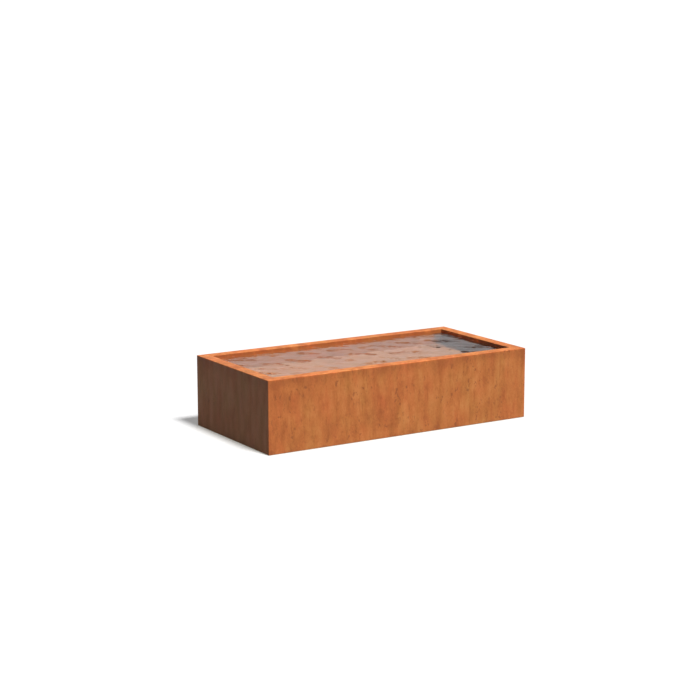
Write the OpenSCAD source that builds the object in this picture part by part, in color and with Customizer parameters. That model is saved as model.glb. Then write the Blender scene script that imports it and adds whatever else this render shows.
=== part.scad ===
// Free-standing rectangular water basin in weathering steel.
// A folded outer skin and a flush inner basin share one flat rim, so the wall is hollow. Upright
// ribs and corner posts stand in that hollow on a welded ring of steel tube. Six levelling feet
// screw out of the ring, and a pull-out standpipe sets the water level and empties the basin.
// Millimetres. X runs along the basin, Y across it, Z up. The origin is on the ground, under
// the middle of the basin. The front is -Y.

/* [Basin] */
// Overall length
length = 2500; // [1500:50:3000]
// Overall width
width = 1200; // [800:50:1500]
// Height of the rim above the ground
height = 600; // [400:10:800]
// Width of the flat rim, which is also the thickness of the hollow wall
rim_w = 95; // [85:1:120]
// Depth of the water surface below the rim
freeboard = 25; // [15:1:60]

/* [Sheet steel] */
// Thickness of the skin and of the basin's walls
skin_t = 3; // [2:0.5:4]
// Thickness of the basin's floor
floor_t = 4; // [3:0.5:6]
// Inside radius of the folds along the rim
bend_r = 2; // [1:0.5:3]
// Depth of the rim's inner lip, down to its weld
lip_drop = 60; // [40:5:100]
// Gap between the ground and the skin's lower edge
skirt_gap = 3; // [2:1:10]

/* [Base ring] */
// Width of the ring's rectangular tube
rail_w = 60; // [45:1:70]
// Height of the ring's tube and of the cross members
rail_h = 40; // [30:1:60]
// Wall thickness of all the tube
tube_t = 3; // [2:0.5:4]
// Outside corner radius of all the tube
tube_r = 6; // [5:0.5:8]
// Width of a cross member
cross_w = 40; // [30:1:60]
// Number of cross members under the floor
cross_count = 5; // [3:1:6]
// Clear space between the drain's flange and the nearest cross member
cross_gap = 35; // [25:1:60]
// Width of the square corner posts
post_w = 60; // [40:1:70]

/* [Ribs] */
// Thickness of a rib
rib_t = 5; // [3:1:8]
// Corner cut that clears the folds of the rim
rib_crop = 10; // [8:1:15]
// Diameter of a rib's lightening holes
rib_hole_d = 50; // [30:1:60]
// Number of lightening holes in a rib
rib_holes = 3; // [1:1:4]
// Number of ribs in each end wall
end_ribs = 2; // [1:1:4]

/* [Levelling feet] */
// Number of feet under each long side
feet_per_side = 3; // [2:1:4]
// Distance from the skin's end to the first foot's axis
foot_inset = 150; // [120:5:300]
// Diameter of the foot's base and of its sole
pad_d = 60; // [45:1:66]
// Width of the sole's edge that shows round the base
sole_edge = 1; // [0.5:0.5:3]
// Thickness of the rubber sole
sole_h = 3; // [2:0.5:5]
// Height of the foot's base above its sole
pad_h = 9; // [8:0.5:14]
// Thickness of the base's flat plate
plate_h = 3; // [2:0.5:5]
// Width of the plate's flat edge outside its cone
plate_edge = 3; // [2:0.5:6]
// Wall round the neck at the top of the cone
socket_wall = 4; // [3:0.5:6]
// Diameter of the threaded stem
stem_d = 16; // [12:1:20]
// Diameter of the plain neck that turns in the foot's base
neck_d = 12; // [8:1:14]
// Hexagon of the stem, across flats
hex_af = 24; // [20:1:28]
// Height of the stem's hexagon
hex_h = 8; // [6:1:12]
// Height of the locknut under the ring
locknut_h = 10; // [6:1:14]
// Outer diameter of the threaded bush in the ring
bush_d = 28; // [24:1:34]
// Depth of the stem's top below the top of the bush
stem_depth = 2; // [1:0.5:6]

/* [Overflow drain] */
// Outer diameter of the standpipe
pipe_d = 40; // [32:1:50]
// Wall thickness of the standpipe
pipe_t = 3.5; // [3:0.5:5]
// Height of the standpipe's crown above the water
crown_h = 5; // [4:1:10]
// Number of notches in the crown
crown_notches = 6; // [3:1:8]
// Width of a notch
notch_w = 10; // [6:1:12]
// Wall thickness of the drain's threaded barrel
barrel_t = 10; // [8:0.5:12]
// Diameter of the drain's flange
flange_d = 90; // [86:1:120]
// Thickness of the flange
flange_t = 5; // [4:1:8]
// Space between the flange and the basin's walls
flange_gap = 5; // [3:1:30]
// Thickness of the seal under the flange
seal_t = 2; // [1:0.5:3]
// Width of the flange's edge that stands past its seal
seal_edge = 1; // [0.5:0.5:3]
// Height of the drain's back nut
backnut_h = 12; // [8:1:16]
// Wall of the back nut outside the barrel, across flats
backnut_wall = 10; // [8:1:12]
// Length of the barrel that shows below the back nut
barrel_tail = 9; // [4:1:12]
// Diameter of the spigot that the buried pipe slips on to
spigot_d = 50; // [48:1:60]
// Height of the spigot's lower end above the ground
spigot_z = 8; // [5:1:12]
// Height above the spigot's end of the step that the standpipe stands on
seat_h = 20; // [12:1:24]
// Thickness of an O-ring
ring_t = 2.4; // [1.8:0.2:2.8]
// Height of the lower O-ring above the step
ring_rise = 17; // [10:1:20]
// Distance between the O-rings
ring_pitch = 20; // [8:1:24]

/* [Clearances] */
// Radial clearance of a turning or sliding fit
run_gap = 0.05; // [0.02:0.01:0.1]
// Clearance between faces of pieces that move apart
face_gap = 0.5; // [0.3:0.1:1]
// Radial clearance of a hole around a fixed barrel
hole_gap = 0.5; // [0.3:0.1:1]
// Clearance round an O-ring in its groove
groove_gap = 0.1; // [0.05:0.05:0.2]

/* [Hidden] */
$fn = 96;
inner_l = length - 2 * rim_w;
inner_w = width - 2 * rim_w;

// Heights, from the ground up
pad_top = sole_h + pad_h;
hex_z = pad_top + face_gap;
locknut_z = hex_z + hex_h + face_gap;
frame_z = locknut_z + locknut_h;
frame_top = frame_z + rail_h;
floor_top = frame_top + floor_t;
lip_z = height - lip_drop;
water_z = height - freeboard;

// Sides, counted round from the front: 0 front, 1 right end, 2 back, 3 left end
FRONT = 0;
RIGHT = 1;
BACK = 2;
LEFT = 3;
function side_length(side) = side % 2 == 0 ? length : width;
function side_distance(side) = (side % 2 == 0 ? width : length) / 2;

// Ring and cross members
rail_y = width / 2 - skin_t - rail_w / 2;
rail_x = length / 2 - skin_t - rail_w / 2;
rail_long = length - 2 * skin_t;
rail_short = width - 2 * (skin_t + rail_w);
post_x = length / 2 - skin_t - post_w / 2;
post_y = width / 2 - skin_t - post_w / 2;
cross_reach = inner_l / 2 - flange_d - 2 * flange_gap - cross_w / 2 - cross_gap;
function spread(i, count, reach) = count == 1 ? 0 : reach * (2 * (i - 1) / (count - 1) - 1);
function cross_x(i) = spread(i, cross_count, cross_reach);

// Ribs of the end walls stand at even steps between the corners
function end_rib_y(i) = inner_w * (i / (end_ribs + 1) - 0.5);

// Feet 1 to feet_per_side stand under the front, and the rest under the back
foot_count = 2 * feet_per_side;
foot_reach = length / 2 - foot_inset;
function foot_x(n) = spread((n - 1) % feet_per_side + 1, feet_per_side, foot_reach);
function foot_y(n) = n <= feet_per_side ? -rail_y : rail_y;
socket_floor = 1;
neck_z = sole_h + socket_floor + face_gap;
stem_top = frame_top - stem_depth;
stem_chamfer = 1.5;

// Drain and standpipe, in the front right corner of the basin
drain_x = inner_l / 2 - flange_d / 2 - flange_gap;
drain_y = -(inner_w / 2 - flange_d / 2 - flange_gap);
pipe_r = pipe_d / 2;
barrel_r = pipe_r + barrel_t;
barrel_z = frame_top - backnut_h - barrel_tail;
flange_z = floor_top + seal_t;
flange_chamfer = 1.5;
seat_z = spigot_z + seat_h;
crown_top = water_z + crown_h;
ring_r = pipe_r - ring_t / 2;
ring_heights = [seat_z + ring_rise, seat_z + ring_rise + ring_pitch];
backnut_af = 2 * (barrel_r + backnut_wall);

/* ---- shapes that repeat ---- */

// Quarter of a folded sheet: outside of the fold towards the lower left
module fold_2d() {
    outer = bend_r + skin_t;
    intersection() {
        difference() {
            circle(outer);
            circle(bend_r);
        }
        translate([-outer, 0]) square(outer);
    }
}

// Section of the skin: across from the outer face in x, height in y
module panel_section() {
    fold = bend_r + skin_t;
    translate([0, skirt_gap]) square([skin_t, height - fold - skirt_gap]);
    translate([fold, height - fold]) fold_2d();
    translate([fold, height - skin_t]) square([rim_w - 2 * fold, skin_t]);
    translate([rim_w - fold, height - fold]) mirror([1, 0]) fold_2d();
    translate([rim_w - skin_t, lip_z]) square([skin_t, lip_drop - fold]);
}

// Section of the basin's wall, in line with the lip above it
module wall_section() {
    translate([rim_w - skin_t, floor_top]) square([skin_t, lip_z - floor_top]);
}

// Plan of one side, cut at 45 degrees at both corners
module mitre(side) {
    half = side_length(side) / 2;
    reach = rim_w + skin_t;
    polygon([[-half, 0], [half, 0], [half - reach, reach], [-half + reach, reach]]);
}

// Puts what is drawn for the front, with y counted inwards from the skin's face, on a side
module on_side(side) {
    rotate(90 * side) translate([0, -side_distance(side), 0]) children();
}

// Draws a section along a side, mitred at the corners
module along_side(side) {
    on_side(side) intersection() {
        rotate([90, 0, 90]) linear_extrude(side_length(side), center = true) children();
        linear_extrude(height + 1) mitre(side);
    }
}

// Rectangle with round corners, centred
module round_rectangle(w, h, r) {
    square([w - 2 * r, h], center = true);
    square([w, h - 2 * r], center = true);
    for (x = [-1, 1]) for (y = [-1, 1]) translate([x * (w / 2 - r), y * (h / 2 - r)]) circle(r);
}

// Section of a cold-formed tube, centred
module tube_section(w, h) {
    difference() {
        round_rectangle(w, h, tube_r);
        round_rectangle(w - 2 * tube_t, h - 2 * tube_t, tube_r - tube_t);
    }
}

// Rectangular tube that runs along X, standing on z = 0
module tube(l, w, h) {
    translate([0, 0, h / 2]) rotate([90, 0, 90]) linear_extrude(l, center = true) tube_section(w, h);
}

// Hexagonal prism by its size across flats
module hexagon(af, h) {
    cylinder(h = h, r = af / 2 / cos(30), $fn = 6);
}

// Ring of square section
module ring(outer, inner, h) {
    difference() {
        cylinder(h = h, r = outer);
        translate([0, 0, -1]) cylinder(h = h + 2, r = inner);
    }
}

/* ---- skin and basin ---- */

module front_panel() { color("#c17644") along_side(FRONT) panel_section(); }
module back_panel() { color("#c17644") along_side(BACK) panel_section(); }
module left_end_panel() { color("#a5623a") along_side(LEFT) panel_section(); }
module right_end_panel() { color("#a5623a") along_side(RIGHT) panel_section(); }

module basin_front_wall() { color("#8a5230") along_side(FRONT) wall_section(); }
module basin_back_wall() { color("#8a5230") along_side(BACK) wall_section(); }
module basin_left_wall() { color("#7d4a2c") along_side(LEFT) wall_section(); }
module basin_right_wall() { color("#7d4a2c") along_side(RIGHT) wall_section(); }

module basin_floor() {
    color("#8a5230") translate([0, 0, frame_top]) difference() {
        linear_extrude(floor_t) square([inner_l + 2 * skin_t, inner_w + 2 * skin_t], center = true);
        translate([drain_x, drain_y, -1]) cylinder(h = floor_t + 2, r = barrel_r + hole_gap);
    }
}

/* ---- base ring ---- */

// Long rail, drilled for the bushes of the feet numbered from first
module long_rail(y, first) {
    difference() {
        translate([0, y, frame_z]) tube(rail_long, rail_w, rail_h);
        for (n = [first : first + feet_per_side - 1])
            translate([foot_x(n), y, frame_z - 1]) cylinder(h = rail_h + 2, r = bush_d / 2 + run_gap);
    }
}

module front_rail() { color("#6e6259") long_rail(-rail_y, 1); }
module back_rail() { color("#6e6259") long_rail(rail_y, feet_per_side + 1); }
module left_rail() {
    color("#6e6259") translate([-rail_x, 0, frame_z]) rotate(90) tube(rail_short, rail_w, rail_h);
}
module right_rail() {
    color("#6e6259") translate([rail_x, 0, frame_z]) rotate(90) tube(rail_short, rail_w, rail_h);
}

module cross_member(i) {
    color("#6e6259") translate([cross_x(i), 0, frame_z]) rotate(90) tube(rail_short, cross_w, rail_h);
}

// Posts are numbered round from the front left corner
module corner_post(i) {
    x = i == 1 || i == 4 ? -post_x : post_x;
    y = i <= 2 ? -post_y : post_y;
    post_h = height - skin_t - bend_r - frame_top;
    color("#6e6259") translate([x, y, frame_top]) linear_extrude(post_h) tube_section(post_w, post_w);
}

/* ---- ribs ---- */

// Plate across the hollow wall, standing on the ring, with its top corners cropped
module rib_section() {
    near = skin_t;
    far = rim_w - skin_t;
    top = height - skin_t;
    step = (top - frame_top) / (rib_holes + 1);
    difference() {
        polygon([
            [near, frame_top], [far, frame_top], [far, top - rib_crop],
            [far - rib_crop, top], [near + rib_crop, top], [near, top - rib_crop]
        ]);
        for (k = [1 : rib_holes]) translate([rim_w / 2, frame_top + k * step]) circle(d = rib_hole_d);
    }
}

module ribs(side, places) {
    color("#7a6a5e") on_side(side) for (x = places)
        translate([x, 0, 0]) rotate([90, 0, 90]) linear_extrude(rib_t, center = true) rib_section();
}

module front_ribs() { ribs(FRONT, [for (i = [1 : cross_count]) cross_x(i)]); }
module back_ribs() { ribs(BACK, [for (i = [1 : cross_count]) cross_x(i)]); }
module left_ribs() { ribs(LEFT, [for (i = [1 : end_ribs]) end_rib_y(i)]); }
module right_ribs() { ribs(RIGHT, [for (i = [1 : end_ribs]) end_rib_y(i)]); }

/* ---- levelling feet ---- */

module at_foot(n) { translate([foot_x(n), foot_y(n), 0]) children(); }

module foot_bushes() {
    color("silver") for (n = [1 : foot_count])
        at_foot(n) translate([0, 0, frame_z]) ring(bush_d / 2, stem_d / 2 + run_gap, rail_h);
}

module foot_locknuts() {
    color("silver") for (n = [1 : foot_count]) at_foot(n) translate([0, 0, locknut_z]) difference() {
        hexagon(hex_af, locknut_h);
        translate([0, 0, -1]) cylinder(h = locknut_h + 2, r = stem_d / 2 + run_gap);
    }
}

module foot_sole(n) {
    bevel = sole_h / 2;
    color("#2a2a2a") at_foot(n) {
        cylinder(h = bevel, r1 = pad_d / 2 - bevel, r2 = pad_d / 2);
        translate([0, 0, bevel]) cylinder(h = sole_h - bevel, r = pad_d / 2);
    }
}

// Round plate with a cone that holds the neck of the stem in a blind bore
module foot_pad(n) {
    base_r = pad_d / 2 - sole_edge;
    color("silver") at_foot(n) translate([0, 0, sole_h]) difference() {
        union() {
            cylinder(h = plate_h, r = base_r);
            translate([0, 0, plate_h])
                cylinder(h = pad_h - plate_h, r1 = base_r - plate_edge, r2 = neck_d / 2 + socket_wall);
        }
        translate([0, 0, socket_floor]) cylinder(h = pad_h, r = neck_d / 2 + run_gap);
    }
}

module foot_stem(n) {
    color("silver") at_foot(n) {
        translate([0, 0, neck_z]) cylinder(h = hex_z - neck_z, r = neck_d / 2);
        translate([0, 0, hex_z]) hexagon(hex_af, hex_h);
        translate([0, 0, hex_z + hex_h])
            cylinder(h = stem_top - stem_chamfer - hex_z - hex_h, r = stem_d / 2);
        translate([0, 0, stem_top - stem_chamfer])
            cylinder(h = stem_chamfer, r1 = stem_d / 2, r2 = stem_d / 2 - stem_chamfer);
    }
}

/* ---- overflow drain ---- */

module at_drain(z) { translate([drain_x, drain_y, z]) children(); }

module drain_body() {
    color("#7d8084") difference() {
        union() {
            at_drain(flange_z) cylinder(h = flange_t - flange_chamfer, r = flange_d / 2);
            at_drain(flange_z + flange_t - flange_chamfer)
                cylinder(h = flange_chamfer, r1 = flange_d / 2, r2 = flange_d / 2 - flange_chamfer);
            at_drain(barrel_z) cylinder(h = flange_z - barrel_z, r = barrel_r);
            at_drain(spigot_z) cylinder(h = barrel_z - spigot_z, r = spigot_d / 2);
        }
        at_drain(seat_z) cylinder(h = height, r = pipe_r + run_gap);
        at_drain(0) cylinder(h = height, r = pipe_r - pipe_t);
    }
}

module drain_seal() {
    color("#222222") at_drain(floor_top) ring(flange_d / 2 - seal_edge, barrel_r + hole_gap, seal_t);
}

module drain_back_nut() {
    color("#7d8084") at_drain(frame_top - backnut_h) difference() {
        hexagon(backnut_af, backnut_h);
        translate([0, 0, -1]) cylinder(h = backnut_h + 2, r = barrel_r + run_gap);
    }
}

// Pipe that stands in the drain: the notches in its crown are the overflow's edge
module standpipe() {
    foot = seat_z + face_gap;
    color("#8d9095") difference() {
        at_drain(foot) ring(pipe_r, pipe_r - pipe_t, crown_top - foot);
        for (k = [1 : crown_notches]) at_drain(water_z) rotate(k * 360 / crown_notches)
            translate([0, -notch_w / 2, 0]) cube([pipe_d, notch_w, crown_h + 1]);
        for (z = ring_heights) at_drain(z) rotate_extrude() translate([ring_r, 0])
            square(ring_t + 2 * groove_gap, center = true);
    }
}

module standpipe_o_rings() {
    color("#222222") for (z = ring_heights) at_drain(z) rotate_extrude()
        translate([ring_r, 0]) circle(d = ring_t, $fn = 48);
}

/* ---- nodes ---- */

front_panel();
back_panel();
left_end_panel();
right_end_panel();
basin_front_wall();
basin_back_wall();
basin_left_wall();
basin_right_wall();
basin_floor();
front_rail();
back_rail();
left_rail();
right_rail();
for (i = [1 : cross_count]) cross_member(i);
for (i = [1 : 4]) corner_post(i);
front_ribs();
back_ribs();
left_ribs();
right_ribs();
foot_bushes();
foot_locknuts();
for (n = [1 : foot_count]) foot_sole(n);
for (n = [1 : foot_count]) foot_pad(n);
for (n = [1 : foot_count]) foot_stem(n);
drain_body();
drain_seal();
drain_back_nut();
standpipe();
standpipe_o_rings();
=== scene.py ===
"""A free-standing water basin in weathering steel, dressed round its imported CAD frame.

Lengths are in metres, with +Z up and the front towards -Y, as in the frame.
"""

import math

import bpy
import numpy as np
from mathutils import Matrix, Vector


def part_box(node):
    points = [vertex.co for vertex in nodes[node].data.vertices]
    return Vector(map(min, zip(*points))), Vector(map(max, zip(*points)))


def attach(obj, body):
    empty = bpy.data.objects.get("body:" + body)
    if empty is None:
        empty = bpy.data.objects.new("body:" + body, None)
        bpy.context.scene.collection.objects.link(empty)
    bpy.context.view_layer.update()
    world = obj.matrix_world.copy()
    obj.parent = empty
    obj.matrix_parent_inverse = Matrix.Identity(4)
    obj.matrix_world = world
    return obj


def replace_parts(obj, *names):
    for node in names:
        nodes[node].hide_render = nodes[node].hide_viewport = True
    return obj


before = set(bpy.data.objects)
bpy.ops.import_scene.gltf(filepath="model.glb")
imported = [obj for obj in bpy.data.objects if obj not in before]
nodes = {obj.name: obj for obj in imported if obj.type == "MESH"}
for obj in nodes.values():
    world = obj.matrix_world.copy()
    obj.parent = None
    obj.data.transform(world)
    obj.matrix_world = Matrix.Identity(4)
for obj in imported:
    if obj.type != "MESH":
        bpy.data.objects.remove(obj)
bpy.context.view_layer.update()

# ---------------------------------------------------------------- sizes
front_low, front_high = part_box("front_panel")
outer_x, outer_y, rim_top = front_high.x, -front_low.y, front_high.z
wall_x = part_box("basin_right_wall")[0].x  # inner face of the right wall
wall_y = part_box("basin_back_wall")[0].y  # inner face of the back wall
wall_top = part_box("basin_front_wall")[1].z
floor_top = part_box("basin_floor")[1].z
FEET = range(1, 7)
CROSS_MEMBERS = range(1, 6)
CORNER_POSTS = range(1, 5)
SIDES = ("front", "back", "left", "right")
WATER_Z = 0.575  # mean level, 25 mm below the rim
WATER_SEAT = 0.001  # how far the water's sides and bottom run into the steel

# ---------------------------------------------------------------- node helpers


def add_node(tree, kind, settings=None, **values):
    """A node of that kind; settings are its own properties and values fill its input sockets."""
    made = tree.nodes.new(kind)
    for name, value in (settings or {}).items():
        setattr(made, name, value)
    for name, value in values.items():
        feed(tree, made, name, value)
    return made


def feed(tree, target, name, value):
    """Puts a number, a colour or another node's output into the socket called name, or number _n."""
    key = int(name[1:]) if name.startswith("_") else name.replace("_", " ")
    socket = target.inputs[key]
    if isinstance(value, bpy.types.NodeSocket):
        tree.links.new(value, socket)
    else:
        socket.default_value = value


def math_node(tree, operation, *values, clamp=False):
    """The output of a Math node on the given numbers or sockets."""
    made = tree.nodes.new("ShaderNodeMath")
    made.operation, made.use_clamp = operation, clamp
    for i, value in enumerate(values):
        feed(tree, made, f"_{i}", value)
    return made.outputs[0]


def blend_colours(tree, share, first, second, way="MIX"):
    """First and second colour mixed by share."""
    made = tree.nodes.new("ShaderNodeMix")
    made.data_type, made.blend_type = "RGBA", way
    for i, value in ((0, share), (6, first), (7, second)):
        feed(tree, made, f"_{i}", value)
    return made.outputs[2]


def ramp(tree, value, low, high, start=0.0, end=1.0):
    """Value carried smoothly from start at low to end at high."""
    made = add_node(tree, "ShaderNodeMapRange", {"interpolation_type": "SMOOTHSTEP"})
    for i, number in enumerate((value, low, high, start, end)):
        feed(tree, made, f"_{i}", number)
    return made.outputs[0]


def noise(tree, place, scale, stretch=(1, 1, 1), detail=2.0, rough=0.5, shift=(0, 0, 0)):
    """Fractal noise at scale waves a metre, drawn out along an axis where stretch is below 1."""
    mapping = add_node(tree, "ShaderNodeMapping", Vector=place, Scale=stretch, Location=shift)
    made = add_node(tree, "ShaderNodeTexNoise", Vector=mapping.outputs[0], Scale=scale,
                    Detail=detail, Roughness=rough)
    return made.outputs[0]


def new_group(name, inputs, outputs):
    """A shader node group; inputs are name to default and outputs name to socket type."""
    group = bpy.data.node_groups.new(name, "ShaderNodeTree")
    for label, default in inputs.items():
        kind = "NodeSocketColor" if isinstance(default, tuple) else "NodeSocketFloat"
        socket = group.interface.new_socket(label, in_out="INPUT", socket_type=kind)
        socket.default_value = default
    for label, kind in outputs.items():
        group.interface.new_socket(label, in_out="OUTPUT", socket_type=kind)
    return group, group.nodes.new("NodeGroupInput").outputs, group.nodes.new("NodeGroupOutput")


def colour(red, green, blue):
    """A linear colour with full alpha."""
    return (red, green, blue, 1.0)


# ---------------------------------------------------------------- steel and its oxide skin

SKIN_RELIEF = 0.0006  # depth of the oxide skin's grain
FITTING_RELIEF = 0.0002  # depth of the speckle on small fittings
TOP_BAND = (0.49, 0.575)  # heights where the dark band under the top fold starts and is full
BOTTOM_STAIN = (0.0, 0.035)  # heights where the bottom stains are full and end
LIP_DEPTH = 0.002  # a face no further than this past the inner walls is darkened, most at and below the water
LIGHTER_EDGE_REACH = (-0.018, -0.006)  # distances from an outer edge where the lightening starts and is full
END_SHADE_EDGE = (1.095, 1.115)  # where the painted shade at the right end starts and is full: floor and back wall darkened where the right wall's shadow falls
END_SHADE_LEAN = 0.08  # how much further left the painted shade starts for each metre of height
RED_DRIFT = colour(1.06, 0.86, 0.82)
OCHRE_DRIFT = colour(0.95, 1.14, 1.12)
# lighter, yellower tint of the outer edges
LIGHTER_EDGE_TINT = colour(1.17, 1.06, 1.0)


def make_patina():
    """The oxide skin of weathering steel. Its tone is a sum of noises, from broad clouds to fine
    grain, with run streaks on upright faces and patches on level ones, less a band under the top
    fold, thin drips, a darker line inside the rim, strongest at and below the water, and small
    stains. The tone blends the dark, middle and light colours. Over them go a drift between red and
    ochre, dark flecks in clusters, stains along the bottom edge, lighter outer edges and painted shade at the
    right end, where the floor and back wall turn darker in place of the right wall's shadow."""
    group, given, result = new_group(
        "oxide_skin",
        {"Middle": colour(0.5, 0.16, 0.05), "Dark": colour(0.4, 0.12, 0.03),
         "Light": colour(0.55, 0.18, 0.06), "Fleck And Shade": colour(0.2, 0.06, 0.03),
         "Contrast": 1.0, "Flat Contrast": 1.45, "Flecks": 1.0, "Top Band": 1.0,
         "Foot Stain": 1.0, "End Film": 0.0, "Edge Rub": 0.0},
        {"Color": "NodeSocketColor", "Roughness": "NodeSocketFloat", "Height": "NodeSocketFloat"})
    place = add_node(group, "ShaderNodeTexCoord").outputs["Object"]
    x, y, height = add_node(group, "ShaderNodeSeparateXYZ", Vector=place).outputs
    side_x, side_y = [math_node(group, "ABSOLUTE", value) for value in (x, y)]
    normal = add_node(group, "ShaderNodeNewGeometry").outputs["Normal"]
    up = math_node(group, "ABSOLUTE", add_node(group, "ShaderNodeSeparateXYZ", Vector=normal).outputs[2])
    upright = ramp(group, up, 0.45, 0.75, 1.0, 0.0)
    level = math_node(group, "SUBTRACT", 1.0, upright)

    def plus(first, second):
        """The sum of two values."""
        return math_node(group, "ADD", first, second)

    def minus(first, second):
        """The first value less the second."""
        return math_node(group, "SUBTRACT", first, second)

    def times(*values):
        """The product of two or more values."""
        product = values[0]
        for value in values[1:]:
            product = math_node(group, "MULTIPLY", product, value)
        return product

    def larger(first, second):
        """The larger of two values."""
        return math_node(group, "MAXIMUM", first, second)

    def smaller(first, second):
        """The smaller of two values."""
        return math_node(group, "MINIMUM", first, second)

    def centred(value, strength):
        """A noise value about zero, times strength."""
        return times(minus(value, 0.5), strength)

    clouds = noise(group, place, 2.6, (1, 1, 0.9), 3.0, 0.5)
    mottle = noise(group, place, 9.0, (1, 1, 0.7), 4.0, 0.6, (3, 1, 7))
    streaks = noise(group, place, 15.0, (1, 1, 0.22), 5.0, 0.62, (9, 2, 4))
    patches = noise(group, place, 24.0, (1, 1, 1), 6.0, 0.7, (5, 8, 1))
    speckle = noise(group, place, 95.0, (1, 1, 0.55), 3.0, 0.6, (3, 5, 9))
    grain = noise(group, place, 210.0, (1, 1, 0.6), 3.0, 0.75)
    runs = plus(times(streaks, upright), times(patches, level))
    tone = centred(clouds, 0.7)
    for value, strength in ((mottle, 1.7), (runs, 1.7), (speckle, 0.9), (grain, 0.7)):
        tone = plus(tone, centred(value, strength))
    contrast = plus(times(upright, given["Contrast"]), times(level, given["Flat Contrast"]))
    tone = times(tone, contrast)

    ragged = plus(height, centred(runs, 0.12))
    band = times(ramp(group, ragged, *TOP_BAND), upright, given["Top Band"])
    drips = ramp(group, noise(group, place, 38.0, (1, 1, 0.12), 3.0, 0.6, (4, 4, 2)), 0.57, 0.70)
    drips = times(drips, ramp(group, mottle, 0.42, 0.6), upright)
    past = larger(minus(side_x, wall_x), minus(side_y, wall_y))
    inner_lip_darkening = times(math_node(group, "LESS_THAN", past, LIP_DEPTH), upright,
                   ramp(group, ragged, WATER_Z - 0.01, rim_top + 0.01, 1.0, 0.25))
    stains = ramp(group, noise(group, place, 15.0, (1, 1, 0.5), 6.0, 0.66, (8, 3, 6)), 0.54, 0.60)
    for value, strength in ((band, 0.5), (drips, 0.6), (inner_lip_darkening, 0.7), (times(stains, contrast), 0.22)):
        tone = minus(tone, times(value, strength))
    darker, lighter = [math_node(group, "MULTIPLY", tone, sign, clamp=True) for sign in (-1.0, 1.0)]
    skin = blend_colours(group, darker, given["Middle"], given["Dark"])
    skin = blend_colours(group, lighter, skin, given["Light"])

    drift = plus(centred(noise(group, place, 4.0, (1, 1, 0.6), 2.0, 0.5, (1, 9, 5)), 0.75),
                 centred(noise(group, place, 11.0, (1, 1, 0.4), 2.0, 0.5, (6, 2, 8)), 1.15))
    drift = math_node(group, "ADD", drift, 0.5, clamp=True)
    tint = blend_colours(group, drift, RED_DRIFT, OCHRE_DRIFT)
    skin = blend_colours(group, 1.0, skin, tint, "MULTIPLY")

    cluster = ramp(group, noise(group, place, 6.0, (1, 1, 1), 2.0, 0.5, (7, 7, 3)), 0.42, 0.62, 0.25, 1.0)
    small = noise(group, place, 52.0, (1, 1, 0.45), 4.0, 0.7, (2, 6, 3))
    large = noise(group, place, 26.0, (1, 1, 0.6), 3.0, 0.55, (9, 4, 7))
    flecks = larger(ramp(group, small, 0.60, 0.66, 0.0, 0.9), ramp(group, large, 0.61, 0.69, 0.0, 0.9))
    flecks = times(flecks, cluster, given["Flecks"])
    bottom = ramp(group, plus(height, centred(mottle, 0.16)), *BOTTOM_STAIN, 1.0, 0.0)
    bottom = times(bottom, given["Foot Stain"], 0.6)
    for share in (flecks, bottom):
        skin = blend_colours(group, share, skin, given["Fleck And Shade"])

    beyond_x, beyond_y = minus(side_x, outer_x), minus(side_y, outer_y)
    beyond_top = minus(height, rim_top)
    edge = larger(smaller(beyond_x, beyond_y), smaller(larger(beyond_x, beyond_y), beyond_top))
    # lighter along the vertical corners and the top outer edges
    edge_lightening = times(ramp(group, plus(edge, centred(streaks, 0.02)), *LIGHTER_EDGE_REACH), given["Edge Rub"])
    skin = blend_colours(group, edge_lightening, skin, blend_colours(group, 1.0, skin, LIGHTER_EDGE_TINT, "MULTIPLY"))
    # painted shade: near the right end the floor and back wall blend to the dark fleck colour, standing in
    # for the shadow of the right wall
    reach = plus(times(height, END_SHADE_LEAN), x)
    painted_end_shade = times(ramp(group, plus(reach, centred(mottle, 0.04)), *END_SHADE_EDGE), given["End Film"])
    skin = blend_colours(group, painted_end_shade, skin, given["Fleck And Shade"])

    feed(group, result, "Color", skin)
    feed(group, result, "Roughness", ramp(group, runs, 0.3, 0.7, 0.86, 0.74))
    feed(group, result, "Height", plus(times(grain, 0.5), times(runs, 0.5)))
    return group


patina = make_patina()


def new_material(name):
    """An empty material with a Principled shader on its output."""
    material = bpy.data.materials.new(name)
    material.use_nodes = True
    tree = material.node_tree
    tree.nodes.clear()
    shader = tree.nodes.new("ShaderNodeBsdfPrincipled")
    output = tree.nodes.new("ShaderNodeOutputMaterial")
    tree.links.new(shader.outputs[0], output.inputs[0])
    return material, tree, shader


def let_through(tree, shader, share):
    """Lets light straight through a material by share."""
    clear = tree.nodes.new("ShaderNodeBsdfTransparent")
    mixed = add_node(tree, "ShaderNodeMixShader", _0=share, _1=shader.outputs[0], _2=clear.outputs[0])
    output = next(n for n in tree.nodes if n.type == "OUTPUT_MATERIAL")
    tree.links.new(mixed.outputs[0], output.inputs[0])


def oxide(name, middle, dark, light, fleck_and_shade, specular=0.5, **amounts):
    """Weathering steel in one finish of its oxide skin. The amounts fill the skin's own inputs."""
    material, tree, shader = new_material(name)
    skin = add_node(tree, "ShaderNodeGroup", {"node_tree": patina})
    for label, value in (("Middle", middle), ("Dark", dark), ("Light", light), ("Fleck And Shade", fleck_and_shade)):
        feed(tree, skin, label, colour(*value))
    for label, value in amounts.items():
        feed(tree, skin, label, value)
    feed(tree, shader, "Base Color", skin.outputs["Color"])
    feed(tree, shader, "Roughness", skin.outputs["Roughness"])
    shader.inputs["Specular IOR Level"].default_value = specular
    bump = add_node(tree, "ShaderNodeBump", Height=skin.outputs["Height"], Strength=0.6, Distance=SKIN_RELIEF)
    feed(tree, shader, "Normal", bump.outputs[0])
    return material


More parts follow.
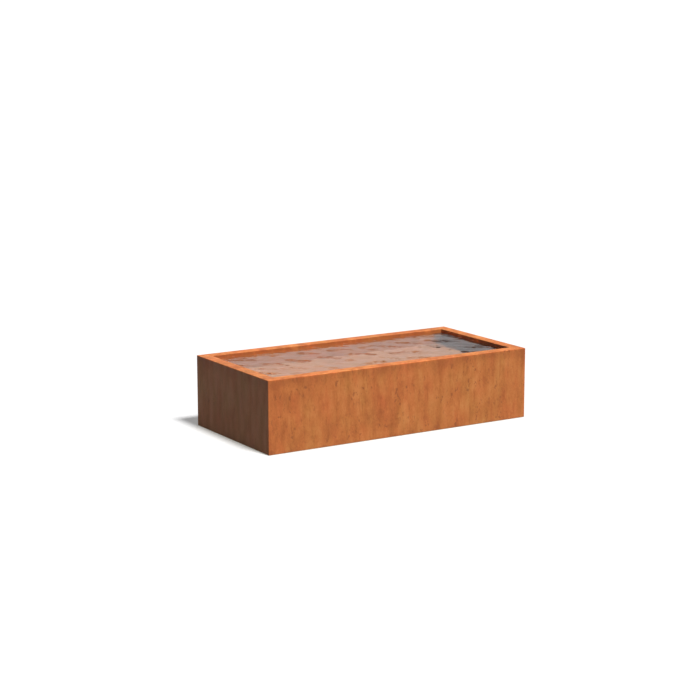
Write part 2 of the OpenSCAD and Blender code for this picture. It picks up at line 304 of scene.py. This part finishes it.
outer_steel = oxide("weathered_skin", (0.505, 0.134, 0.014), (0.355, 0.078, 0.001), (0.615, 0.200, 0.038),
                    (0.27, 0.060, 0.0), specular=0.8, Contrast=1.5, Flat_Contrast=2.7, Flecks=0.95,
                    Foot_Stain=0.5, Edge_Rub=0.8)
# painted shade: a darker copy of the weathered skin with less contrast, for the left end panel, whose face is
# turned away from the sun
painted_shade_left_steel = oxide("painted_shade_left_skin", (0.465, 0.132, 0.019), (0.33, 0.083, 0.004), (0.59, 0.185, 0.040),
                        (0.25, 0.060, 0.003), specular=0.85, Contrast=0.8, Flat_Contrast=2.7, Flecks=0.5,
                        Foot_Stain=0.5, Edge_Rub=0.8)
# The wetted and silted skins carry the painted shade at the right end.
inner_steel = oxide("wetted_skin", (0.35, 0.122, 0.036), (0.24, 0.078, 0.022), (0.43, 0.160, 0.05),
                    (0.07, 0.032, 0.02), Flecks=0.5, Top_Band=0.0, Foot_Stain=0.0, End_Film=0.85)
# painted shade: a much darker copy of the skin for the basin's right wall, which stands in shadow
painted_shade_right_wall_steel = oxide("shaded_skin", (0.15, 0.066, 0.034), (0.09, 0.040, 0.022), (0.22, 0.095, 0.045),
                  (0.06, 0.026, 0.018), Top_Band=0.0, Foot_Stain=0.0)
floor_steel = oxide("silted_skin", (0.22, 0.090, 0.034), (0.14, 0.057, 0.024), (0.30, 0.122, 0.046),
                    (0.06, 0.028, 0.018), Flecks=0.5, Top_Band=0.0, Foot_Stain=0.0, End_Film=0.85)
frame_steel = oxide("mill_scale", (0.12, 0.075, 0.055), (0.05, 0.038, 0.034), (0.24, 0.12, 0.07),
                    (0.26, 0.10, 0.04), Top_Band=0.0, Foot_Stain=0.0)


def put_on(material, *names):
    """Gives a material to CAD nodes."""
    for name in names:
        slots = nodes[name].data.materials
        slots.clear()
        slots.append(material)


put_on(outer_steel, "front_panel", "back_panel", "right_end_panel")
put_on(painted_shade_left_steel, "left_end_panel")
put_on(inner_steel, "basin_front_wall", "basin_back_wall", "basin_left_wall")
put_on(painted_shade_right_wall_steel, "basin_right_wall")
put_on(floor_steel, "basin_floor")
put_on(frame_steel, *(f"{side}_rail" for side in SIDES), *(f"{side}_ribs" for side in SIDES),
       *(f"cross_member_{n}" for n in CROSS_MEMBERS), *(f"corner_post_{n}" for n in CORNER_POSTS))

# ---------------------------------------------------------------- new pieces and the water


def surface_piece(name, points, faces, body, material):
    """A smoothly shaded mesh of those points and faces as a piece that rides on a CAD body."""
    mesh = bpy.data.meshes.new(name)
    mesh.from_pydata(points.tolist(), [], faces)
    mesh.validate()
    mesh.materials.append(material)
    piece = bpy.data.objects.new(name, mesh)
    bpy.context.scene.collection.objects.link(piece)
    mesh.polygons.foreach_set("use_smooth", [True] * len(mesh.polygons))
    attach(piece, body)
    return piece


WIND = 58.0  # degrees from +X towards +Y in which the ripples run
RIPPLE_SEED = 11
WATER_COLUMNS = 464
WATER_ROWS = 204


def plane_waves(x, y, draw, waves, shortest, longest, slope, spread):
    """Sum of plane waves: each is a sine of x and y along its own heading, drawn about the wind's
    within spread degrees. Its length is drawn between shortest and longest, and its height is set
    so that all lengths tilt the surface about alike, and together by slope."""
    length = shortest * (longest / shortest) ** draw.random(waves)
    heading = draw.normal(math.radians(WIND), math.radians(spread), waves)
    phase = draw.random(waves) * 2 * math.pi
    number = 2 * math.pi / length
    tilt = slope * math.sqrt(2 / waves) * (0.6 + 0.8 * draw.random(waves))
    along = (x[..., None] * np.cos(heading) + y[..., None] * np.sin(heading)) * number
    return (np.sin(along + phase) * tilt / number).sum(-1)


def ripple_height(x, y):
    """Low waves all over, plus short steep ones where a gust touches: where a slow sum of waves
    stands high, smoothly from none to full."""
    draw = np.random.default_rng(RIPPLE_SEED)
    calm = plane_waves(x, y, draw, waves=60, shortest=0.05, longest=0.30, slope=0.024, spread=50)
    short = plane_waves(x, y, draw, waves=40, shortest=0.033, longest=0.085, slope=0.26, spread=32)
    gust = plane_waves(x, y, draw, waves=30, shortest=0.11, longest=0.30, slope=1.0, spread=28)
    share = np.clip((gust / gust.std() - 0.35) / 0.9, 0.0, 1.0)
    return calm + short * share * share * (3 - 2 * share)


def water_piece(material):
    """The water as one closed block: its top is z = level + ripples over a grid of x and y, and its
    four sides and its bottom run straight down into the steel by WATER_SEAT. The bottom is strips
    from front to back, with one face at each end that takes in all of that end's points."""
    columns, rows = WATER_COLUMNS, WATER_ROWS
    half_x, half_y = wall_x + WATER_SEAT, wall_y + WATER_SEAT
    across, along = np.linspace(-half_x, half_x, columns), np.linspace(-half_y, half_y, rows)
    x, y = np.meshgrid(across, along, indexing="ij")
    top = np.stack([x, y, WATER_Z + ripple_height(x, y)], -1).reshape(-1, 3)
    index = np.arange(columns * rows).reshape(columns, rows)
    quads = np.stack([index[:-1, :-1], index[1:, :-1], index[1:, 1:], index[:-1, 1:]], -1).reshape(-1, 4)
    edge = np.concatenate([index[:, 0], index[-1, 1:], index[-2::-1, -1], index[0, -2:0:-1]])
    under = np.arange(len(edge)) + columns * rows
    low = top[edge].copy()
    low[:, 2] = floor_top - WATER_SEAT
    around = np.stack([edge, under, np.roll(under, -1), np.roll(edge, -1)], -1)
    back_right = columns + rows - 2
    back_left = back_right + columns - 1
    front, back = under[:columns], under[back_right:back_left + 1][::-1]
    bottom = np.stack([front[1:-2], back[1:-2], back[2:-1], front[2:-1]], -1)
    right_end = [front[-2], back[-2], *under[columns - 1:back_right + 1][::-1]]
    left_end = [back[1], front[1], under[0], *under[back_left:][::-1]]
    faces = quads.tolist() + around.tolist() + bottom.tolist()
    faces += [[int(i) for i in end] for end in (right_end, left_end)]
    return surface_piece("water", np.concatenate([top, low]), faces, "basin", material)


def water_look():
    """Clear water: a smooth refracting surface that lets the light of the sun through to the steel."""
    material, tree, shader = new_material("clear_water")
    shader.inputs["Base Color"].default_value = colour(1.0, 1.0, 1.0)
    shader.inputs["Transmission Weight"].default_value = 1.0
    shader.inputs["Roughness"].default_value = 0.0
    shader.inputs["IOR"].default_value = 1.333
    let_through(tree, shader, tree.nodes.new("ShaderNodeLightPath").outputs["Is Shadow Ray"])
    return material


water_piece(water_look())

# ---------------------------------------------------------------- small finishes


def make_soiling():
    """Handling marks and dry dirt on small fittings: a clean colour clouded with soil, with fine
    speckle for the bump."""
    group, given, result = new_group(
        "soiling",
        {"Clean": colour(0.5, 0.5, 0.5), "Soil": colour(0.2, 0.15, 0.1), "Amount": 0.4, "Speckle": 400.0,
         "Gloss": 0.4, "Dull": 0.7},
        {"Color": "NodeSocketColor", "Roughness": "NodeSocketFloat", "Height": "NodeSocketFloat"})
    place = add_node(group, "ShaderNodeTexCoord").outputs["Object"]
    cloud = ramp(group, noise(group, place, 38.0, (1, 1, 1), 5.0, 0.65), 0.40, 0.68)
    soil = math_node(group, "MULTIPLY", cloud, given["Amount"])
    speckle = noise(group, place, given["Speckle"], (1, 1, 1), 3.0, 0.7)
    shade = ramp(group, speckle, 0.25, 0.75, 0.86, 1.12)
    shaded = add_node(group, "ShaderNodeVectorMath", {"operation": "SCALE"}, _0=given["Clean"], Scale=shade)
    feed(group, result, "Color", blend_colours(group, soil, shaded.outputs[0], given["Soil"]))
    rough = add_node(group, "ShaderNodeMix", {"data_type": "FLOAT"},
                     _0=soil, _2=given["Gloss"], _3=given["Dull"])
    feed(group, result, "Roughness", rough.outputs[0])
    feed(group, result, "Height", speckle)
    return group


soiling = make_soiling()


def fitting(name, clean, soil, amount, gloss, dull, metallic=0.0, speckle=400.0):
    """Material of a small fitting: a clean finish with soil clouded over it."""
    material, tree, shader = new_material(name)
    marks = add_node(tree, "ShaderNodeGroup", {"node_tree": soiling})
    for label, value in (("Clean", colour(*clean)), ("Soil", colour(*soil)), ("Amount", amount),
                         ("Speckle", speckle), ("Gloss", gloss), ("Dull", dull)):
        feed(tree, marks, label, value)
    feed(tree, shader, "Base Color", marks.outputs["Color"])
    feed(tree, shader, "Roughness", marks.outputs["Roughness"])
    shader.inputs["Metallic"].default_value = metallic
    bump = add_node(tree, "ShaderNodeBump", Height=marks.outputs["Height"], Strength=0.5,
                    Distance=FITTING_RELIEF)
    feed(tree, shader, "Normal", bump.outputs[0])
    return material


zinc = fitting("zinc_plate", (0.62, 0.62, 0.60), (0.34, 0.29, 0.23), 0.55, 0.34, 0.62,
               metallic=1.0, speckle=900.0)
rubber = fitting("black_rubber", (0.022, 0.022, 0.023), (0.10, 0.085, 0.07), 0.5, 0.62, 0.88)
drain_plastic = fitting("moulded_drain", (0.075, 0.080, 0.085), (0.16, 0.10, 0.06), 0.5, 0.38, 0.7)
pipe_plastic = fitting("grey_pipe", (0.27, 0.285, 0.30), (0.22, 0.15, 0.09), 0.45, 0.30, 0.6, speckle=250.0)
weld_steel = oxide("weld_bead", (0.16, 0.07, 0.032), (0.07, 0.032, 0.02), (0.27, 0.12, 0.05),
                   (0.05, 0.025, 0.015), Top_Band=0.0, Foot_Stain=0.0)

put_on(zinc, "foot_bushes")
put_on(rubber, "drain_seal", "standpipe_o_rings")
put_on(drain_plastic, "drain_body")
put_on(pipe_plastic, "standpipe")

# ---------------------------------------------------------------- turned and threaded pieces

ROUND = 48  # steps round a turned piece
THREAD_PITCH = 0.002
THREAD_DEPTH = 0.0011
THREAD_ROOT = 1.3  # peak of the thread's wave, in depths, before the root cuts it off flat
THREAD_FLANK = 1.6  # how far the wave falls over half a pitch, in depths
FINE_EDGE = 0.0006  # small chamfers on necks and bores
CREASE = 0.0004  # distance of a ring that keeps the shading plain up to an edge
NECK_RADIUS = 0.006
ROD_RADIUS = 0.008
ROD_END_RADIUS = 0.0065
ROD_RINGS = 147
HEX_FLATS = 0.024  # across the flats of a stem's hexagon and of its locknut
HEX_BOTTOM = 0.008  # above the stem's foot
HEX_TOP = 0.016
HEX_CHAMFER = 0.0015
HEX_FACE_RADIUS = 0.0114
NUT_CORNER = 0.09  # height of a nut's chamfered corners, as a share of its flats
NUT_FACE = 0.95  # radius of a nut's flat face, as a share of half its flats
LOCKNUT_BORE = 0.00805  # radius
BACK_NUT_FLATS = 0.080
BACK_NUT_BORE = 0.03005  # radius


def turns(steps=ROUND):
    """Angles once round."""
    return np.linspace(0, 2 * math.pi, steps, endpoint=False)


def hexagon_radius(turn, flats):
    """Distance from the axis to a hexagon's side at each angle, with a corner at angle 0: half the
    size across flats over the cosine of the angle from the nearest flat's middle."""
    return flats / 2 / np.cos(turn % (math.pi / 3) - math.pi / 6)


def chamfered(radius, z, low, high, face_radius):
    """Radius cut by the two cones that start at face_radius on each end face and open at 30 degrees
    to the face."""
    room = np.minimum(z - low, high - z)[:, None] / math.tan(math.radians(30))
    return np.minimum(radius, face_radius + np.maximum(room, 0.0))


def thread_radius(z, turn, radius):
    """Crest radius less the depth of a right-hand thread, a trapezium wave of height over pitch less
    the share of a turn."""
    phase = (z[:, None] / THREAD_PITCH - turn[None, :] / (2 * math.pi)) % 1.0
    return radius - THREAD_DEPTH * np.clip(THREAD_ROOT - np.abs(2 * phase - 1) * THREAD_FLANK, 0.0, 1.0)


def ring_faces(rings, around, closed, first):
    """Faces between rings of points that are numbered on from first, ring after ring. The last ring
    meets the first if closed, or else a flat face caps each end."""
    index = np.arange(rings * around).reshape(rings, around) + first
    lower, upper = (index, np.roll(index, -1, 0)) if closed else (index[:-1], index[1:])
    faces = np.stack([lower, np.roll(lower, -1, 1), np.roll(upper, -1, 1), upper], -1)
    faces = faces.reshape(-1, 4).tolist()
    if not closed:
        faces += [index[0, ::-1].tolist(), index[-1].tolist()]
    return faces


def turned_grid(axis, z, radius, closed, first=0):
    """Points and faces of anticlockwise rings round an upright axis: each point is the axis plus the
    radius times (cosine, sine) of its angle, at the ring's height."""
    turn = turns()
    radius = np.broadcast_to(radius, (len(z), ROUND))
    points = np.stack([axis[0] + radius * np.cos(turn), axis[1] + radius * np.sin(turn),
                       np.broadcast_to(z[:, None], radius.shape)], -1).reshape(-1, 3)
    return points, ring_faces(len(z), ROUND, closed, first)


def axis_of(node):
    """Middle of a CAD node in plan, with its lowest and highest z."""
    low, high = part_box(node)
    return ((low.x + high.x) / 2, (low.y + high.y) / 2), low.z, high.z


def crisp(piece, angle=32.0):
    """Keeps edges sharper than angle as edges under smooth shading."""
    piece.data.set_sharp_from_angle(angle=math.radians(angle))
    return piece


def profile(rows, base):
    """Heights and radii of rings from rows of (radius, height above base) in millimetres."""
    table = np.array(rows) / 1000
    return table[:, 1] + base, table[:, :1]


def add_stem(n):
    """Foot n's stem: plain neck, chamfered hexagon and threaded rod with a chamfered end."""
    axis, low, high = axis_of(f"foot_{n}_stem")
    turn = turns()
    hex_low, hex_high = low + HEX_BOTTOM, low + HEX_TOP
    neck_z = [low, low + FINE_EDGE, hex_low - CREASE, hex_low]
    neck = np.full((len(neck_z), ROUND), NECK_RADIUS)
    neck[0] -= FINE_EDGE
    hex_z = np.concatenate([[hex_low], np.linspace(hex_low, hex_low + HEX_CHAMFER, 5)[1:],
                            np.linspace(hex_high - HEX_CHAMFER, hex_high, 5)])
    hexagon = chamfered(hexagon_radius(turn, HEX_FLATS), hex_z, hex_low, hex_high, HEX_FACE_RADIUS)
    rod_z = np.linspace(hex_high, high, ROD_RINGS)
    rod = np.minimum(thread_radius(rod_z, turn, ROD_RADIUS), ROD_END_RADIUS + (high - rod_z)[:, None])
    z = np.concatenate([neck_z, hex_z, rod_z])
    radius = np.concatenate([neck, hexagon, rod])
    points, faces = turned_grid(axis, z, radius, closed=False)
    piece = surface_piece(f"foot_{n}_threaded_stem", points, faces, f"foot_{n}_screw",
                          zinc)
    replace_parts(crisp(piece), f"foot_{n}_stem")


def add_pad(n):
    """Foot n's round base: a plate with a softened edge and a cone up to the socket of the neck."""
    axis, low, _ = axis_of(f"foot_{n}_pad")
    plate = [(28.5, 0), (28.9, 0.15), (29, 0.5), (29, 2.4), (28.8, 2.85), (28.3, 3)]
    cone = [(26.6, 3), (25.6, 3.2), (24, 3.75), (18, 6), (12, 8.25), (10.9, 8.7), (10.2, 8.9)]
    socket = [(9.6, 9), (6.6, 9), (6.2, 8.8), (6.05, 8.4), (6.05, 1)]
    z, radius = profile(plate + cone + socket, low)
    points, faces = turned_grid(axis, z, radius, closed=False)
    piece = surface_piece(f"foot_{n}_base", points, faces, f"foot_{n}", zinc)
    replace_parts(crisp(piece, 40.0), f"foot_{n}_pad")


def add_sole(n):
    """Foot n's rubber sole: a disc with a bevelled lower edge and ring grooves on its underside."""
    axis, low, _ = axis_of(f"foot_{n}_sole")
    rows = [(4, 0)]
    for groove in (6, 10, 14, 18, 22, 26):
        rows += [(groove, 0), (groove + 0.2, 0.7), (groove + 1.2, 0.7), (groove + 1.4, 0)]
    rows += [(28.5, 0), (29.4, 0.8), (30, 1.5), (30, 2.6), (29.8, 2.9), (29.4, 3)]
    z, radius = profile(rows, low)
    points, faces = turned_grid(axis, z, radius, closed=False)
    piece = surface_piece(f"foot_{n}_tread", points, faces, f"foot_{n}", rubber)
    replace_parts(crisp(piece), f"foot_{n}_sole")


def nut_grid(axis, low, high, flats, bore, first=0):
    """A hexagon nut as one closed ring: out along the bottom, up the chamfered side, in along the
    top and down the countersunk bore."""
    corner = flats * NUT_CORNER
    outer_z = np.concatenate([np.linspace(low, low + corner, 6), np.linspace(high - corner, high, 6)])
    outer = chamfered(hexagon_radius(turns(), flats), outer_z, low, high, flats / 2 * NUT_FACE)
    ring = np.ones((1, ROUND))
    sunk = (bore + FINE_EDGE) * ring
    z = np.concatenate([[low + FINE_EDGE, low], outer_z, [high, high - FINE_EDGE]])
    radius = np.concatenate([bore * ring, sunk, outer, sunk, bore * ring])
    return turned_grid(axis, z, radius, closed=True, first=first)


def add_locknuts():
    """The six locknuts under the ring, one for each foot."""
    _, low, high = axis_of("foot_locknuts")
    points, faces = [], []
    for n in FEET:
        axis = axis_of(f"foot_{n}_stem")[0]
        first = sum(map(len, points))
        more_points, more_faces = nut_grid(axis, low, high, HEX_FLATS, LOCKNUT_BORE, first)
        points.append(more_points)
        faces += more_faces
    piece = surface_piece("chamfered_locknuts", np.concatenate(points), faces, "basin",
                          zinc)
    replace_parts(crisp(piece), "foot_locknuts")


def add_back_nut():
    """The drain's large plastic nut under the floor."""
    axis, low, high = axis_of("drain_back_nut")
    points, faces = nut_grid(axis, low, high, BACK_NUT_FLATS, BACK_NUT_BORE)
    piece = surface_piece("chamfered_back_nut", points, faces, "basin", drain_plastic)
    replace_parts(crisp(piece), "drain_back_nut")


for n in FEET:
    add_stem(n)
    add_pad(n)
    add_sole(n)
add_locknuts()
add_back_nut()

# ---------------------------------------------------------------- weld beads

BEAD_STEP = 0.0018  # distance between a bead's sections
BEAD_ROUND = 8  # points round a bead's section
RIPPLE_PITCH = 0.0065  # distance between the ripples that the welder's hand leaves
UNEVEN_RATE = 41.0  # radians a metre of the slow swelling along a bead
FLOOR_BEAD = 0.0042  # radius
FRAME_BEAD = 0.0035
BEAD_INSET = 0.001  # how far the basin's seams stand off the corners they fill


def bead_grid(corners, across, upwards, size, closed, first=0):
    """A weld bead: a round section carried along straight runs between corners. Each point is the
    path, plus the radius times (cosine x across + sine x upwards), and the radius swells and sinks
    along the path as the absolute sine of distance over the ripple pitch. across is given at each
    corner, long enough there to mitre the section, and is held level along a run."""
    corners, across = np.asarray(corners, float), np.asarray(across, float)
    ends = np.roll(corners, -1, 0) if closed else corners[1:]
    path, side = [], []
    for start, end, mitre in zip(corners, ends, across):
        run = end - start
        length = np.linalg.norm(run)
        share = np.linspace(0, 1, max(2, round(length / BEAD_STEP)))[:-1, None]
        along = run / length
        path.append(start + share * run)
        flat = mitre - (mitre @ along) * along
        side.append(np.where(share == 0, mitre, flat / np.linalg.norm(flat)))
    if not closed:
        path.append(ends[-1:])
        side.append(across[-1:])
    path, side = np.concatenate(path), np.concatenate(side)
    distance = np.arange(len(path)) * BEAD_STEP
    swell = 0.88 + 0.16 * np.abs(np.sin(distance * math.pi / RIPPLE_PITCH))
    swell += 0.05 * np.sin(distance * UNEVEN_RATE)
    turn = turns(BEAD_ROUND)[None, :, None]
    section = np.cos(turn) * side[:, None] + np.sin(turn) * np.asarray(upwards, float)
    points = path[:, None] + (size * swell)[:, None, None] * section
    return points.reshape(-1, 3), ring_faces(len(path), BEAD_ROUND, closed, first)


def add_beads(name, runs, size):
    """One piece of several beads, each given as (corners, across, upwards, closed)."""
    points, faces = [], []
    for corners, across, upwards, closed in runs:
        first = sum(map(len, points))
        more_points, more_faces = bead_grid(corners, across, upwards, size, closed, first)
        points.append(more_points)
        faces += more_faces
    return surface_piece(name, np.concatenate(points), faces, "basin", weld_steel)


def add_basin_welds():
    """The seam round the basin's floor and the seams up its four corners."""
    x, y, low = wall_x - BEAD_INSET, wall_y - BEAD_INSET, floor_top + BEAD_INSET
    plan = [(-x, -y), (x, -y), (x, y), (-x, y)]
    inward = [(1, 1, 0), (-1, 1, 0), (-1, -1, 0), (1, -1, 0)]
    runs = [([(*p, low) for p in plan], inward, (0, 0, 1), True)]
    for (px, py), (ix, iy, _) in zip(plan, inward):
        first, second = ((ix, 0, 0), (0, iy, 0)) if ix * iy > 0 else ((0, iy, 0), (ix, 0, 0))
        runs.append(([(px, py, low), (px, py, wall_top)], [first, first], second, False))
    add_beads("basin_weld_seams", runs, FLOOR_BEAD)


def add_frame_welds():
    """The beads that hold each end of the cross members to the rails: down one side, along the
    bottom and up the other."""
    runs = []
    for n in CROSS_MEMBERS:
        low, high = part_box(f"cross_member_{n}")
        line_x = [low.x, low.x, high.x, high.x]
        line_z = [high.z, low.z, low.z, high.z]
        outward = [(-1, 0, 0), (-1, 0, -1), (1, 0, -1), (1, 0, 0)]
        for y, away, order in ((low.y, 1.0, 1), (high.y, -1.0, -1)):
            line = [(x, y, z) for x, z in zip(line_x, line_z)]
            runs.append((line[::order], outward[::order], (0, away, 0), False))
    add_beads("frame_weld_seams", runs, FRAME_BEAD)


add_basin_welds()
add_frame_welds()

# ---------------------------------------------------------------- camera, light and floor

VIEW_PLACE = (-8.007, -12.585, 3.546)
VIEW_AZIMUTH = -32.04
VIEW_ELEVATION = 11.11
LENS = 93.37
BACKDROP = colour(1.05, 1.05, 1.05)  # what the camera sees round the object
MIRRORED = colour(0.62, 0.62, 0.63)  # what gloss and water mirror
FILL = colour(0.059, 0.133, 0.275)  # what lights the shade on matt surfaces
FLOOR_REACH = 60.0
FLOOR_LEVEL = -0.0005  # just below the soles


def look_matrix(azimuth, elevation, place):
    """A camera's matrix: azimuth 0 looks along +Y, and elevation is its height above the horizon."""
    a, e = math.radians(azimuth), math.radians(elevation)
    back = Vector((math.sin(a) * math.cos(e), -math.cos(a) * math.cos(e), math.sin(e)))
    right = Vector((math.cos(a), math.sin(a), 0))
    turned = Matrix((right, back.cross(right), back)).transposed().to_4x4()
    return Matrix.Translation(place) @ turned


def add_camera():
    """The view of the basin from its front left, from far off with a long lens."""
    data = bpy.data.cameras.new("camera")
    data.lens, data.sensor_width = LENS, 36.0
    data.clip_start, data.clip_end = 0.1, 200
    camera = bpy.data.objects.new("camera", data)
    bpy.context.scene.collection.objects.link(camera)
    camera.matrix_world = look_matrix(VIEW_AZIMUTH, VIEW_ELEVATION, Vector(VIEW_PLACE))
    bpy.context.scene.camera = camera


def add_sun(name, azimuth, elevation, strength, spread):
    """A sun that shines from that direction, softened over spread degrees."""
    data = bpy.data.lights.new(name, "SUN")
    data.energy, data.angle = strength, math.radians(spread)
    sun = bpy.data.objects.new(name, data)
    bpy.context.scene.collection.objects.link(sun)
    sun.matrix_world = look_matrix(azimuth, elevation, Vector((0, 0, 4)))


def add_sky():
    """A plain surround, white where the camera sees it. Gloss and water mirror it a little darker,
    and it fills the shade on matt surfaces with a weaker, bluer light."""
    world = bpy.data.worlds.new("studio")
    world.use_nodes = True
    bpy.context.scene.world = world
    tree = world.node_tree
    background = next(n for n in tree.nodes if n.type == "BACKGROUND")
    path = tree.nodes.new("ShaderNodeLightPath").outputs
    first = math_node(tree, "LESS_THAN", path["Diffuse Depth"], 0.5)
    mirrored = math_node(tree, "MAXIMUM", path["Is Glossy Ray"], path["Is Transmission Ray"])
    mirrored = math_node(tree, "MULTIPLY", mirrored, first)
    light = blend_colours(tree, mirrored, FILL, MIRRORED)
    light = blend_colours(tree, path["Is Camera Ray"], light, BACKDROP)
    feed(tree, background, "Color", light)


def floor_look():
    """A plain white floor that shows a soft shadow and throws little light back. It has its own
    tone and glow where the camera sees it, and from below it is clear, so that the feet and the
    underside can be looked at."""
    material, tree, shader = new_material("studio_floor")
    path = tree.nodes.new("ShaderNodeLightPath").outputs
    tone = blend_colours(tree, path["Is Glossy Ray"], colour(0.034, 0.050, 0.070), colour(0.58, 0.58, 0.60))
    tone = blend_colours(tree, path["Is Camera Ray"], tone, colour(0.50, 0.50, 0.50))
    # The floor glows: strongly where the camera sees it, which lifts its shadow to a pale grey, and faintly
    # to other rays, which lights the underside.
    glow = blend_colours(tree, path["Is Camera Ray"], colour(0.050, 0.075, 0.094), colour(0.30, 0.265, 0.205))
    feed(tree, shader, "Base Color", tone)
    feed(tree, shader, "Emission Color", glow)
    shader.inputs["Emission Strength"].default_value = 1.0
    shader.inputs["Roughness"].default_value = 0.9
    shader.inputs["Specular IOR Level"].default_value = 0.0
    let_through(tree, shader, add_node(tree, "ShaderNodeNewGeometry").outputs["Backfacing"])
    return material


def add_floor():
    """One large level square under the soles."""
    plan = ((-1, -1), (1, -1), (1, 1), (-1, 1))
    corners = [(x * FLOOR_REACH, y * FLOOR_REACH, FLOOR_LEVEL) for x, y in plan]
    mesh = bpy.data.meshes.new("floor")
    mesh.from_pydata(corners, [], [(0, 1, 2, 3)])
    mesh.materials.append(floor_look())
    floor = bpy.data.objects.new("floor", mesh)
    bpy.context.scene.collection.objects.link(floor)


add_camera()
add_sun("key_light", azimuth=8.5, elevation=61.0, strength=5.3, spread=11.0)
add_sky()
add_floor()
bpy.context.scene.view_settings.view_transform = "Standard"
